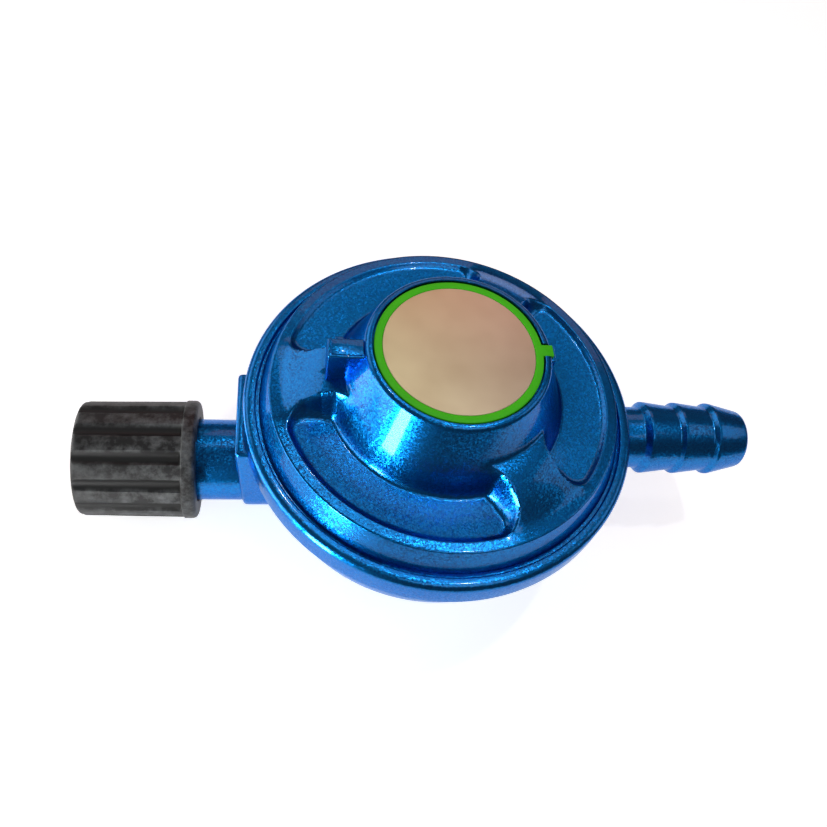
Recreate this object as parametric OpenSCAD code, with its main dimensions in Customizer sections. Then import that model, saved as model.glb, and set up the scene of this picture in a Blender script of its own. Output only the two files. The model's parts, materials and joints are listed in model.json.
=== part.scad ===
// Low-pressure gas regulator with a fluted coupling nut and a barbed hose nozzle.
// Frame: the origin is on the regulator's upright axis, on the face that it stands on. +Z points up,
// +X points along the hose nozzle and -X along the inlet, where the coupling nut is.

/* [Body casting] */
// Diameter over the crimped rim
rim_d = 68; // [56:0.5:84]
// Height of the rim's upright wall
rim_h = 6; // [5:0.5:8]
// Height of the rim's top above the base
rim_top = 33.5; // [27.5:0.5:42]
// Width of the crimped lip, seen from above
lip_w = 1.8; // [1.4:0.1:2.3]
// Thickness of the crimped lip
lip_t = 1.4; // [1:0.1:2]
// Wall of the bowl
bowl_wall = 2.9; // [2:0.1:3.5]
// Diameter of the flat base pad
base_d = 33; // [27:1:40]

/* [Inlet] */
// Diameter of the inlet stem
stem_d = 15; // [12.5:0.1:18]
// How far the stem stands out past the rim
stem_proud = 12; // [10:0.5:20]
// Bore of the stem, which holds the excess-flow valve
stem_bore_d = 10; // [8.6:0.1:11]
// How much wider the root boss is than the stem, on each side
root_side = 0.9; // [0.3:0.1:2]
// How far the root boss stands out past the rim
root_proud = 1.2; // [0.5:0.1:4]

/* [Coupling nut] */
// Minor diameter of the female thread, for M16 x 1.5
thread_minor_d = 14.38; // [11.9:0.01:17.4]
// Wall of the brass insert, outside the thread
insert_wall = 1.8; // [1.4:0.1:3]
// Wall of the handwheel at its collar, outside the insert
wheel_wall = 1.95; // [1.6:0.05:4]
// How much smaller the handwheel's radius is at its open end
wheel_taper = 0.5; // [0:0.1:0.8]
// Length of the handwheel
wheel_l = 20.9; // [17.4:0.1:28]
// Length of the smooth collar behind the flutes
wheel_collar = 2.4; // [1.5:0.1:5]
// Number of flutes
flutes = 13; // [8:1:16]
// Depth of a flute at the open end
flute_depth = 0.7; // [0.3:0.1:0.9]
// Diameter of a flute's round cutter
flute_d = 2.4; // [1.8:0.1:3.2]
// Height of the handwheel above the face that the regulator stands on
wheel_clear = 0.76; // [0.2:0.02:4]

/* [Hose nozzle] */
// How far the nozzle's axis lies under the rim's top
nozzle_drop = 10.9; // [9.8:0.1:13]
// Diameter over the barbs
barb_d = 13.6; // [11.3:0.1:16.4]
// Height of a barb over the valley behind it
barb_depth = 0.7; // [0.4:0.1:1.2]
// How much smaller the plain neck's radius is than the barbs'
neck_step = 1; // [0.6:0.1:1.4]
// Number of barbs
barbs = 3; // [1:1:5]
// Distance from barb to barb
barb_pitch = 6.65; // [5.5:0.05:8]
// Distance of the first barb's crest from the rim
barb_first = 6.3; // [4:0.1:12]
// Length of the tapered nose past the last barb's crest
nozzle_nose = 6.2; // [5:0.1:9]
// Bore through the nozzle
nozzle_bore_d = 7; // [5:0.5:8]

/* [Cover] */
// Height of the cap's face above the rim's top
tower_h = 15.7; // [13:0.1:19]
// Width of the tower's lip round the cap
tower_lip = 1; // [0.7:0.1:2]
// How far the tower's cone flares out down to the pocket floor
cone_flare = 5.1; // [3:0.1:7]
// Height of the pocket floor above the rim's top
floor_h = 3.4; // [2.8:0.1:4.2]
// Height of the dome at the pockets' outer wall
crest_h = 4.9; // [4.4:0.1:6]
// Drop from the cap's face to where the dome runs into the tower
saddle_drop = 4.7; // [3.5:0.1:6.5]
// Number of pockets round the tower
pockets = 3; // [2:1:5]
// Angle of the web between two pockets, in degrees
web_angle = 23; // [16:1:40]
// Rounding of the pockets' outer corners
pocket_corner = 4.2; // [1.5:0.1:6]
// Width of the vent block
vent_w = 3.6; // [3:0.1:5]
// How far the vent block stands out from the tower
vent_l = 5.9; // [4:0.1:8]
// Bore of the vent
vent_bore_d = 1.6; // [1:0.1:1.8]

/* [Cap and rating plate] */
// Diameter of the closing cap
cap_d = 27.3; // [22.7:0.1:33]
// Thickness of the closing cap
cap_t = 1.6; // [1.2:0.1:2]
// Width of the cap's ring round the rating plate
ring_w = 1.35; // [0.8:0.05:5]
// Width of the cap's tab
tab_w = 2.2; // [1.5:0.1:4]
// How far the tab reaches past the tower
tab_proud = 0.5; // [0.2:0.1:1.5]

/* [Diaphragm and valve] */
// Travel of the diaphragm, from the valve wide open to shut
travel = 3; // [1.5:0.1:3.6]
// Thickness of the diaphragm
rubber_t = 1; // [0.6:0.1:1.2]
// Wire diameter of the main spring
spring_wire = 1.3; // [0.8:0.1:1.6]
// Turns of the main spring
spring_turns = 6; // [4:1:8]
// Room round the main spring in the tower
spring_side = 2.4; // [1:0.1:3]
// Rise of the adjusting screw's thread per turn
screw_pitch = 0.7; // [0.5:0.1:0.8]
// Lever arm from its pin to the diaphragm post
lever_long = 14; // [11.6:0.1:17]
// Lever arm from its pin down to the valve rod
lever_short = 7; // [5.8:0.1:8.4]
// Diameter of the lever pin
pin_d = 2.5; // [2:0.1:3]
// Diameter of the valve rod
rod_d = 3.2; // [2.6:0.1:3.8]
// Distance of the jet's nose from the upright axis
jet_nose = 8.6; // [7.2:0.1:10.4]
// Bore of the jet
jet_bore_d = 1.8; // [1:0.1:2.2]
// Travel of the excess-flow poppet
poppet_travel = 1.8; // [1:0.1:2.2]

/* [Fits] */
// Radial clearance of a running fit
running = 0.05; // [0.02:0.01:0.1]
// Gap between pieces that move past each other
gap = 0.3; // [0.2:0.05:0.4]
// Radial clearance of a piece that is pressed or screwed in
seated = 0.03; // [0.01:0.01:0.05]

/* [Hidden] */
$fn = 96;

BLUE = "#1563b4";
BLACK = "#2f3132";
GREEN = "#3faa12";
CHAMPAGNE = "#d6c19a";
BRASS = "#c9a24a";
STEEL = "#a9adb0";
RUBBER = "#26282a";
GREY = "#8d9093";

// Body: radii and heights that follow from the driving sizes
rim_r = rim_d / 2;
edge_r = 1;                                  // rounding of the rim's outer edges
rim_bottom = rim_top - rim_h;
lip_r = rim_r - lip_w;                       // inner edge of the crimped lip
rim_wall = 1;
seat_r = rim_r - rim_wall;                   // inside of the rim wall, round the clamped flange
flange_t = 2;                                // thickness of the cover's flange
bead_t = 1.2;                                // thickness of the diaphragm's clamped bead
lip_under = rim_top - lip_t;                 // underside of the lip, on the cover's flange
flange_under = lip_under - flange_t;
ledge_z = flange_under - bead_t;             // the ledge that the diaphragm's bead lies on
bead_w = 4.4;
chamber_r = seat_r - bead_w;
bowl_r = chamber_r + bowl_wall;              // outside of the bowl under the rim
flank_x = 9.5;                               // centre of the bowl's oval flank
flank_top = rim_bottom - 3;                  // where the flank turns upright
flank_low = 2.5;                             // the flank's lowest level
sump_r = 14;
sump_z = 3;
base_r = base_d / 2;
pad_h = 3.2;

// Nut: the shoulder of the insert turns on the nipple's neck
relief_r = thread_minor_d / 2 + 0.4;
insert_r = thread_minor_d / 2 + insert_wall;
wheel_r = insert_r + wheel_wall;
inlet_z = wheel_r + wheel_clear;             // height of the inlet's axis
stem_end = rim_r + stem_proud;               // lengths from here on are distances along -X
shoulder_t = 3;
nipple_flange_r = relief_r - 0.74;
nipple_neck_r = nipple_flange_r - 1.25;
nipple_flange_t = 2.2;
nipple_nose_r = 4;
nipple_nose_l = 1.9;
nipple_bore_r = 2.6;
nipple_spigot_l = 5;
seal_wire_r = 0.8;
shoulder_x = stem_end + gap;
flange_x = shoulder_x + shoulder_t + gap;    // the nipple flange's face towards the body
seal_x = flange_x + nipple_flange_t;
nose_x = seal_x + nipple_nose_l;
wheel_lap = 3.7;                             // how far the handwheel reaches back over the stem
wheel_x = stem_end - wheel_lap;
wheel_end = wheel_x + wheel_l;
insert_end = wheel_end - 1.2;
thread_x = nose_x + gap;
thread_mouth = 0.6;
wheel_round = 1.2;                           // rounding of the handwheel's open end
collar_round = 0.8;

// Inlet casting
stem_r = stem_d / 2;
bore_r = stem_bore_d / 2;
bore_end = stem_end - 16;                    // inner end of the valve bore
passage_r = 2.2;
root_w = stem_d + 2 * root_side;
root_end = rim_r + root_proud;
root_top = rim_bottom + 1;
root_draft = 3;                              // lean of the root boss's end face, in degrees
jet_l = 6;                                   // length of the jet's thread
jet_thread_r = 3;
jet_head_r = 4.2;
jet_head_t = 1.4;
jet_tip_l = 1;
jet_face = jet_nose + jet_tip_l + jet_head_t; // face of the seat boss, under the jet's head
boss_r = 6.5;

// Hose nozzle: a turned tail, pressed into a pad on the bowl
nozzle_z = rim_top - nozzle_drop;
spigot_r = nozzle_bore_d / 2 + 1.2;
tail_pad_r = spigot_r + 1.7;
tail_pad_x = rim_r + 0.3;                    // face of the pad, just proud of the rim
barb_r = barb_d / 2;
valley_r = barb_r - barb_depth;
neck_r = barb_r - neck_step;
barb_x = rim_r + barb_first;                 // the first barb's crest
barb_land = 0.6;
nozzle_tip = barb_x + (barbs - 1) * barb_pitch + barb_land + nozzle_nose;
tip_r = barb_r - 1.55;
tip_round = 1.2;

// Cover
cap_r = cap_d / 2;
cap_fit = 0.25;                              // shadow gap round the cap
tower_r = cap_r + cap_fit + tower_lip;
cap_top = rim_top + tower_h;
cap_seat = cap_top - cap_t;
lip_top = cap_top + 0.2;
cap_ledge = 1.8;                             // width of the ledge that the cap sits on
screw_r = cap_r - cap_ledge;
screw_bore_r = screw_r + running;
cone_r = tower_r + cone_flare;               // the cone's radius at the pocket floor
pocket_floor = rim_top + floor_h;
cone_slope = cone_flare / (tower_h - floor_h);
crest_r = rim_r - 6.3;                       // outer wall of the pockets
skirt_r = lip_r - 0.9;                       // the skirt's foot, beside the groove round the lip
ceiling_t = 2.2;
ceiling_z = pocket_floor - ceiling_t;
saddle_z = cap_top - saddle_drop;
vent_top = cap_top - 0.7;
vent_h = 9;
vent_z = cap_top - 6.7;
vent_reach = tower_r + vent_l;
tab_t = 0.8;
tab_offset = 0.3;                            // the tab's middle is this far to +Y
tab_fit = 0.15;
tab_reach = tower_r + tab_proud;
plate_t = 0.3;
plate_r = cap_r - ring_w;

// Diaphragm stack, from the bottom up, with the valve open
post_r = 2.8;
post_neck_r = 2;
washer_t = 0.8;
washer_r = 9;
stack_z = ledge_z - 2.5;                     // shoulder of the post
rubber_z = stack_z + washer_t;
plate_z = rubber_z + rubber_t;
spring_plate_t = 0.8;
spring_plate_h = 2.2;
spring_plate_r = chamber_r - 7.6;
spring_foot = plate_z + spring_plate_t;
spring_mean_r = screw_r - spring_side - spring_wire / 2;
seat_t = 1.2;
seat_plate_r = spring_mean_r + spring_wire / 2 + 0.6;
screw_h = 3.5;
screw_top = cap_seat - 0.5;
spring_head = screw_top - screw_h - seat_t;

// Valve train
pivot_z = inlet_z + lever_short;
lever_swing = travel / lever_long * 180 / PI;
plunger_travel = travel * lever_short / lever_long;
lever_t = 1.2;
nose_r = 1.3;
lever_w = 5;
tip_w = 3;
slot_w = tip_w + 2 * gap;
slot_h = 2.2;
slot_z = pivot_z - travel / 2;               // the lever's tip at rest
post_foot = slot_z - slot_h / 2 - 1.8;
pad_r = 3;
pad_t = 2;
pad_x = -jet_nose + plunger_travel;          // the pad's face at rest
head_r = 3.9;
rod_r = rod_d / 2;
rod_end = lever_long + lever_short * sin(lever_swing / 2) - nose_r - gap;
ear_t = 1.2;
ear_r = 2.6;
ear_y = lever_w / 2 + gap;
guide_x = 3.6;
guide_l = 5;
bracket_z = 5;
bracket_t = 1.2;
foot_y = 6.8;
foot_x = 5.5;
shank_r = 1.5;

// Excess-flow valve, along -X
flow_seat_l = 4;
flow_lip_r = 2.3;                            // outside of the sealing lip, inside the spring
flow_hole_r = 1.6;
flow_wire = 0.5;
flow_coil_r = 2.9;
flow_groove_r = 3.5;
flow_groove_l = 2.5;
flow_rest = 0.2;                             // the poppet stops this far short of the seat
poppet_x = bore_end + flow_seat_l + poppet_travel + flow_rest;
poppet_t = 1.6;
poppet_r = bore_r - 1.3;

// A cylinder along +X from x0 to x1, centred on the given height
module rod_x(x0, x1, r, z, r2 = -1) {
    translate([x0, 0, z]) rotate([0, 90, 0]) cylinder(h = x1 - x0, r1 = r, r2 = r2 < 0 ? r : r2);
}

// A profile of [distance along +X, radius] points, turned about the X axis at the given height
module turned_x(points, z) {
    translate([0, 0, z]) rotate([0, 90, 0]) rotate_extrude()
        polygon([for (p = points) [p[1], p[0]]]);
}

// Points on an oval arc, for the lathe profiles
function oval(cx, cy, rx, ry, a0, a1, n = 6) =
    [for (i = [0 : n]) let (a = a0 + (a1 - a0) * i / n) [cx + rx * cos(a), cy + ry * sin(a)]];

function arc(cx, cy, r, a0, a1, n = 6) = oval(cx, cy, r, r, a0, a1, n);

// A round wire wound up the Z axis, from z = 0 to z = height. The end turns lie flat.
module coil(mean_r, wire_r, height, turns, rings = 14, sides = 6) {
    steps = turns * rings;
    flat = 0.75 / turns;
    rise = height - 2 * wire_r;
    function lift(t) = t < flat ? 0 : t > 1 - flat ? 1 : (t - flat) / (1 - 2 * flat);
    low = 2 * wire_r * 1.04;                 // the flat end turns still climb a little more than one wire
    function level(t) = wire_r + (t < flat ? low * t / flat * flat * turns
                                : t > 1 - flat ? rise - low * (1 - t) * turns
                                : low * flat * turns + (rise - 2 * low * flat * turns) * lift(t));
    points = [for (i = [0 : steps]) let (t = i / steps, a = 360 * turns * t)
              for (k = [0 : sides - 1]) let (b = 360 * k / sides, r = mean_r + wire_r * cos(b))
              [r * cos(a), r * sin(a), level(t) + wire_r * sin(b)]];
    walls = [for (i = [0 : steps - 1], k = [0 : sides - 1])
             let (a = i * sides + k, b = i * sides + (k + 1) % sides)
             each [[a, b, b + sides], [a, b + sides, a + sides]]];
    last = steps * sides;
    caps = [for (k = [1 : sides - 2]) each [[0, k + 1, k], [last, last + k, last + k + 1]]];
    polyhedron(points, concat(walls, caps), convexity = 8);
}

// The barbed nozzle's outline, as [x, r] points: a steep back on each barb, a small land and a long taper
function barb_points(i) =
    let (x = barb_x + i * barb_pitch, foot = i == 0 ? neck_r : valley_r)
    [[x - (barb_r - foot), foot], [x, barb_r], [x + barb_land, barb_r]];

// Height of the bowl's inside at a radius
function inside_low(r) =
    flank_top - (flank_top - flank_low - bowl_wall) * sqrt(1 - pow((r - flank_x) / (chamber_r - flank_x), 2));

module lower_body() {
    color(BLUE) difference() {
        union() {
            rotate_extrude() polygon(concat(
                [[0, 0], [base_r - 0.6, 0], [base_r, 0.6], [base_r, pad_h]],
                oval(flank_x, flank_top, bowl_r - flank_x, flank_top - flank_low, -70, 0, 10),
                [[bowl_r, rim_bottom - 2]],
                [[rim_r - edge_r, rim_bottom]],
                arc(rim_r - edge_r, rim_bottom + edge_r, edge_r, -70, 0, 4),
                arc(rim_r - edge_r, rim_top - edge_r, edge_r, 0, 90, 5),
                [[lip_r + 0.4, rim_top], [lip_r, rim_top - 0.4], [lip_r, lip_under], [0, lip_under]]));
            // Root boss: flat sides above, round below
            intersection() {
                union() {
                    rod_x(-root_end, -10, root_w / 2, inlet_z);
                    translate([-root_end, -root_w / 2, inlet_z])
                        cube([root_end - 10, root_w, root_top - inlet_z]);
                }
                translate([-root_end, 0, root_top]) rotate([0, -root_draft, 0])
                    translate([0, -root_w, -2 * root_top]) cube([2 * root_end, 2 * root_w, 3 * root_top]);
            }
            rod_x(-stem_end, -root_end + 4, stem_r, inlet_z);
            rod_x(bowl_r - 6, tail_pad_x, tail_pad_r, nozzle_z);
        }
        // Chamber, with the sump and the seat for the diaphragm's bead and the cover's flange
        difference() {
            rotate_extrude() polygon(concat(
                [[0, sump_z], [sump_r, sump_z], [sump_r, inside_low(sump_r)]],
                oval(flank_x, flank_top, chamber_r - flank_x, flank_top - flank_low - bowl_wall,
                     -70, 0, 10),
                [[chamber_r, ledge_z], [seat_r, ledge_z], [seat_r, lip_under], [lip_r, lip_under],
                 [lip_r, rim_top + 1], [0, rim_top + 1]]));
            // Seat boss, which carries the jet
            rod_x(-chamber_r, -jet_face, boss_r, inlet_z);
            // Pads for the lever bracket
            for (y = [-foot_y, foot_y]) translate([foot_x, y, 0]) cylinder(h = bracket_z, r = 3.2);
        }
        rod_x(-stem_end - 1, -bore_end, bore_r, inlet_z);
        rod_x(-bore_end - 1, -jet_face - jet_l + 0.5, passage_r, inlet_z);
        rod_x(-jet_face - jet_l, -jet_face + 1, jet_thread_r + seated, inlet_z);
        rod_x(bowl_r - 8, tail_pad_x + 1, spigot_r + seated, nozzle_z);
        for (y = [-foot_y, foot_y]) translate([foot_x, y, bracket_z - 4])
            cylinder(h = 6, r = shank_r + seated);
    }
}

module hose_tail() {
    bore = nozzle_bore_d / 2;
    color(BLUE) turned_x(concat(
        [[chamber_r + 0.6, bore], [chamber_r + 0.6, spigot_r], [tail_pad_x, spigot_r],
         [tail_pad_x, neck_r]],
        [for (i = [0 : barbs - 1]) each barb_points(i)],
        arc(nozzle_tip - tip_round, tip_r - tip_round, tip_round, 80, 0, 5),
        [[nozzle_tip, bore]]), nozzle_z);
}

// One pocket's cutter: a sector of the dome out to the pocket's outer wall, with round outer corners
module pocket_cutter() {
    span = 360 / pockets - web_angle;
    corner = min(pocket_corner, (crest_r - cone_r) / 2);
    cross = 0.02;                            // the corners' cylinders cross the walls, not only touch
    ring = crest_r - corner;
    turn = asin(corner / ring);
    depth = cap_top - pocket_floor;
    translate([0, 0, pocket_floor]) {
        rotate([0, 0, -span / 2 + turn]) rotate_extrude(angle = span - 2 * turn)
            translate([cap_r - 4, 0]) square([crest_r - cap_r + 4, depth]);
        rotate([0, 0, -span / 2]) rotate_extrude(angle = span)
            translate([cap_r - 4, 0]) square([ring * cos(turn) - cap_r + 4, depth]);
        for (side = [-1, 1]) rotate([0, 0, side * (span / 2 - turn)]) translate([ring, 0, 0])
            cylinder(h = depth, r = corner + cross);
    }
}

module cover() {
    color(BLUE) difference() {
        union() {
            // Flange and dome, with the pockets
            difference() {
                rotate_extrude() polygon([
                    [0, flange_under], [seat_r - seated, flange_under], [seat_r - seated, lip_under],
                    [skirt_r, lip_under], [skirt_r, rim_top - 0.2], [skirt_r - 0.4, rim_top + 0.8],
                    [crest_r + 1.6, rim_top + crest_h - 0.8], [crest_r + 1, rim_top + crest_h - 0.2],
                    [crest_r, rim_top + crest_h],
                    [(crest_r + cone_r) / 2, rim_top + crest_h + 2.3],
                    [cone_r + 0.8, saddle_z - 2.2],
                    [cone_r - 1.6, saddle_z - 1.6],
                    [tower_r + cone_slope * saddle_drop - 0.6, saddle_z + 0.6], [0, saddle_z + 0.6]]);
                for (i = [0 : pockets - 1]) rotate([0, 0, 180 + (i + 0.5) * 360 / pockets]) pocket_cutter();
            }
            // Tower
            rotate_extrude() polygon([
                [0, ceiling_z], [cone_r + cone_slope * 0.5, ceiling_z],
                [cone_r + cone_slope * 0.5, pocket_floor - 0.5],
                [tower_r, cap_top], [tower_r - 0.3, lip_top], [0, lip_top]]);
            // Vent block on the tower's inlet side
            translate([-vent_reach, -vent_w / 2, vent_top - vent_h])
                cube([vent_reach - tower_r + 1, vent_w, vent_h]);
            // Spur under the cap's tab
            translate([tower_r - 1, tab_offset - tab_w / 2 - tab_fit, cap_top - tab_t - 3])
                cube([tab_proud + 1.2, tab_w + 2 * tab_fit, 3.2]);
        }
        rotate_extrude() polygon([
            [0, flange_under - 1], [chamber_r + 0.8, flange_under - 1], [chamber_r + 0.8, flange_under + 2.5],
            [chamber_r - 1, ceiling_z], [cone_r - 1, ceiling_z], [cone_r - 2.8, ceiling_z + 1.3],
            [screw_bore_r, ceiling_z + 6.3], [screw_bore_r, cap_seat], [cap_r + cap_fit, cap_seat],
            [cap_r + cap_fit, lip_top + 1], [0, lip_top + 1]]);
        rod_x(-vent_reach - 1, -screw_bore_r + 1, vent_bore_d / 2, vent_z);
        // Notch in the lip for the tab
        translate([cap_r - 1, tab_offset - tab_w / 2 - tab_fit, cap_top - tab_t])
            cube([tab_reach - cap_r + 2, tab_w + 2 * tab_fit, 3]);
    }
}

module closing_cap() {
    color(GREEN) difference() {
        union() {
            translate([0, 0, cap_seat]) cylinder(h = cap_t, r = cap_r);
            translate([0, tab_offset - tab_w / 2, cap_top - tab_t]) cube([tab_reach, tab_w, tab_t]);
        }
        translate([0, 0, cap_top - plate_t]) cylinder(h = 1, r = plate_r + seated);
    }
}

module rating_plate() {
    color(CHAMPAGNE) translate([0, 0, cap_top - plate_t]) cylinder(h = plate_t, r = plate_r);
}

module adjusting_screw() {
    depth = 0.45;
    foot = screw_top - screw_h;
    threads = floor((screw_h - 0.6) / screw_pitch);
    color(GREY) difference() {
        rotate_extrude() polygon(concat(
            [[0, foot], [screw_r - depth, foot]],
            [for (i = [0 : threads - 1]) let (z = foot + 0.3 + i * screw_pitch)
             each [[screw_r - depth, z], [screw_r, z + 0.15],
                   [screw_r, z + 0.3], [screw_r - depth, z + 0.45]]],
            [[screw_r - depth, screw_top], [0, screw_top]]));
        translate([0, 0, screw_top - 2.4]) cylinder(h = 3, r = 4, $fn = 6);
    }
}

// Plate between the screw and the spring, with a boss that centres the spring
module spring_seat() {
    boss_r = spring_mean_r - spring_wire / 2 - gap;
    color(STEEL) rotate_extrude() polygon([
        [3, spring_head - 1], [boss_r, spring_head - 1], [boss_r, spring_head], [seat_plate_r, spring_head],
        [seat_plate_r, spring_head + seat_t], [3, spring_head + seat_t]]);
}

module main_spring() {
    color(STEEL) translate([0, 0, spring_foot])
        coil(spring_mean_r, spring_wire / 2, spring_head - spring_foot, spring_turns);
}

module spring_plate() {
    color(STEEL) rotate_extrude() polygon([
        [post_neck_r + running, plate_z], [spring_plate_r, plate_z],
        [spring_plate_r, plate_z + spring_plate_h],
        [spring_plate_r - spring_plate_t, plate_z + spring_plate_h],
        [spring_plate_r - spring_plate_t, spring_foot],
        [post_neck_r + running, spring_foot]]);
}

module diaphragm() {
    fold = (chamber_r + 0.2 + spring_plate_r) / 2;
    top = ledge_z + bead_t + 0.9;
    color(RUBBER) rotate_extrude() polygon([
        [post_neck_r + running, rubber_z], [spring_plate_r + 0.6, rubber_z],
        [fold - 1.4, top - rubber_t - 0.4], [fold - 0.6, top - rubber_t],
        [fold + 0.6, top - rubber_t], [fold + 1.6, top - rubber_t - 0.6],
        [chamber_r - 0.6, ledge_z + 0.2], [chamber_r, ledge_z], [seat_r - seated, ledge_z],
        [seat_r - seated, flange_under], [chamber_r + 0.2, flange_under], [fold + 1.6, top - 0.4],
        [fold + 0.6, top], [fold - 0.6, top], [fold - 1.8, top - 0.6], [spring_plate_r + 0.2, plate_z],
        [post_neck_r + running, plate_z]]);
}

module backing_washer() {
    color(STEEL) translate([0, 0, stack_z]) difference() {
        cylinder(h = washer_t, r = washer_r);
        translate([0, 0, -1]) cylinder(h = washer_t + 2, r = post_neck_r + running);
    }
}

module diaphragm_post() {
    color(BRASS) difference() {
        union() {
            translate([0, 0, post_foot]) cylinder(h = stack_z - post_foot, r = post_r);
            translate([0, 0, post_foot]) cylinder(h = spring_foot + 2.8 - post_foot, r = post_neck_r);
            translate([0, 0, stack_z - 1]) cylinder(h = 1, r = post_r + 1.2);
        }
        translate([-post_r - 1, -slot_w / 2, slot_z - slot_h / 2]) cube([2 * post_r + 2, slot_w, slot_h]);
    }
}

module post_nut() {
    color(STEEL) translate([0, 0, spring_foot]) difference() {
        cylinder(h = 2.2, r = 4, $fn = 6);
        translate([0, 0, -1]) cylinder(h = 5, r = post_neck_r + seated);
    }
}

// The lever, drawn half way through its swing and then set back to the open valve
module lever() {
    color(STEEL) translate([lever_long, 0, pivot_z]) rotate([0, -lever_swing / 2, 0]) difference() {
        union() {
            rotate([90, 0, 0]) translate([0, 0, -lever_w / 2]) cylinder(h = lever_w, r = pin_d / 2 + 1.2);
            translate([-lever_long + post_r + gap + 0.5, -lever_w / 2, -lever_t / 2])
                cube([lever_long - post_r - gap - 0.5, lever_w, lever_t]);
            translate([-lever_long - 1, -tip_w / 2, -lever_t / 2]) cube([lever_long, tip_w, lever_t]);
            translate([-lever_t / 2, -rod_r, -lever_short]) cube([lever_t, 2 * rod_r, lever_short]);
            translate([0, rod_r, -lever_short]) rotate([90, 0, 0]) cylinder(h = 2 * rod_r, r = nose_r);
        }
        rotate([90, 0, 0]) translate([0, 0, -lever_w]) cylinder(h = 2 * lever_w, r = pin_d / 2 + running);
    }
}

module lever_pin() {
    length = 2 * (ear_y + ear_t + 0.6);
    color(STEEL) translate([lever_long, length / 2, pivot_z]) rotate([90, 0, 0])
        cylinder(h = length, r = pin_d / 2);
}

// Folded steel bracket: a foot on two pads, two ears for the lever pin and a guide for the valve rod
module lever_bracket() {
    color(STEEL) difference() {
        union() {
            translate([foot_x - 4.5, -foot_y - 2.4, bracket_z]) cube([8.5, 2 * foot_y + 4.8, bracket_t]);
            for (y = [-ear_y - ear_t, ear_y]) {
                translate([0, y + ear_t, 0]) rotate([90, 0, 0]) linear_extrude(ear_t) polygon([
                    [foot_x - 1.5, bracket_z], [foot_x + 4, bracket_z],
                    [lever_long + ear_r, pivot_z - 1.2], [lever_long + ear_r, pivot_z],
                    [lever_long - ear_r, pivot_z], [foot_x - 1.5, bracket_z + 6]]);
                translate([lever_long, y + ear_t, pivot_z]) rotate([90, 0, 0]) cylinder(h = ear_t, r = ear_r);
            }
            translate([foot_x - 1.5, -ear_y - ear_t, bracket_z])
                cube([1.5, 2 * (ear_y + ear_t), inlet_z + rod_r + 1.6 - bracket_z]);
            rod_x(guide_x, guide_x + guide_l, rod_r + 1.2, inlet_z);
        }
        rod_x(guide_x - 1, guide_x + guide_l + 1, rod_r + running, inlet_z);
        translate([lever_long, 2 * ear_y + ear_t, pivot_z]) rotate([90, 0, 0])
            cylinder(h = 4 * ear_y + 2 * ear_t, r = pin_d / 2 + 0.01);
        for (y = [-foot_y, foot_y]) translate([foot_x, y, bracket_z - 1])
            cylinder(h = 3, r = shank_r + running);
    }
}

module bracket_screws() {
    color(STEEL) for (y = [-foot_y, foot_y]) translate([foot_x, y, bracket_z + bracket_t]) difference() {
        union() {
            cylinder(h = 1.8, r = 2.7);
            translate([0, 0, -bracket_t - 3.8]) cylinder(h = bracket_t + 3.8, r = shank_r);
        }
        translate([-3, -0.4, 1]) cube([6, 0.8, 2]);
    }
}

module valve_plunger() {
    cup = pad_x + 0.8;
    color(BRASS) difference() {
        union() {
            rod_x(cup, pad_x + pad_t + 1.5, head_r, inlet_z);
            rod_x(pad_x + pad_t, rod_end, rod_r, inlet_z);
        }
        rod_x(cup - 1, pad_x + pad_t, pad_r + seated, inlet_z);
    }
}

module valve_pad() {
    color(RUBBER) rod_x(pad_x, pad_x + pad_t, pad_r, inlet_z);
}

module orifice_jet() {
    color(BRASS) difference() {
        turned_x([[-jet_face - jet_l, 0], [-jet_face - jet_l, jet_thread_r], [-jet_face, jet_thread_r],
                  [-jet_face, jet_head_r], [-jet_nose - jet_tip_l, jet_head_r], [-jet_nose - jet_tip_l, 2.4],
                  [-jet_nose, 1.6], [-jet_nose, 0]], inlet_z);
        rod_x(-jet_nose - 2, -jet_nose + 1, jet_bore_d / 2, inlet_z);
        rod_x(-jet_face - jet_l - 1, -jet_nose - 1.5, 1.4, inlet_z);
    }
}

// Seat with a sealing lip inside a groove for the spring
module flow_seat() {
    face = -bore_end - flow_seat_l;
    color(BRASS) turned_x([
        [face, flow_hole_r], [face, flow_lip_r], [face + flow_groove_l, flow_lip_r],
        [face + flow_groove_l, flow_groove_r], [face, flow_groove_r], [face, bore_r - seated],
        [-bore_end, bore_r - seated], [-bore_end, flow_hole_r]], inlet_z);
}

// Poppet with four guide fins, held off its seat by the flow spring
module flow_poppet() {
    color(BRASS) union() {
        rod_x(-poppet_x - poppet_t, -poppet_x, poppet_r, inlet_z);
        for (a = [45 : 90 : 315]) translate([-poppet_x - poppet_t, 0, inlet_z]) rotate([a, 0, 0])
            translate([0, -0.4, 2]) cube([poppet_t, 0.8, bore_r - 2 - 2 * running]);
    }
}

module flow_spring() {
    length = poppet_travel + flow_rest + flow_groove_l;
    color(STEEL) translate([-poppet_x, 0, inlet_z]) rotate([0, 90, 0])
        coil(flow_coil_r, flow_wire / 2, length, 4, 12);
}

// Ring that the poppet's fins rest on
module flow_retainer() {
    x = -poppet_x - poppet_t - flow_rest;
    color(BRASS) difference() {
        rod_x(x - 1.2, x, bore_r - seated, inlet_z);
        rod_x(x - 3, x + 1, bore_r - 0.8, inlet_z);
    }
}

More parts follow.
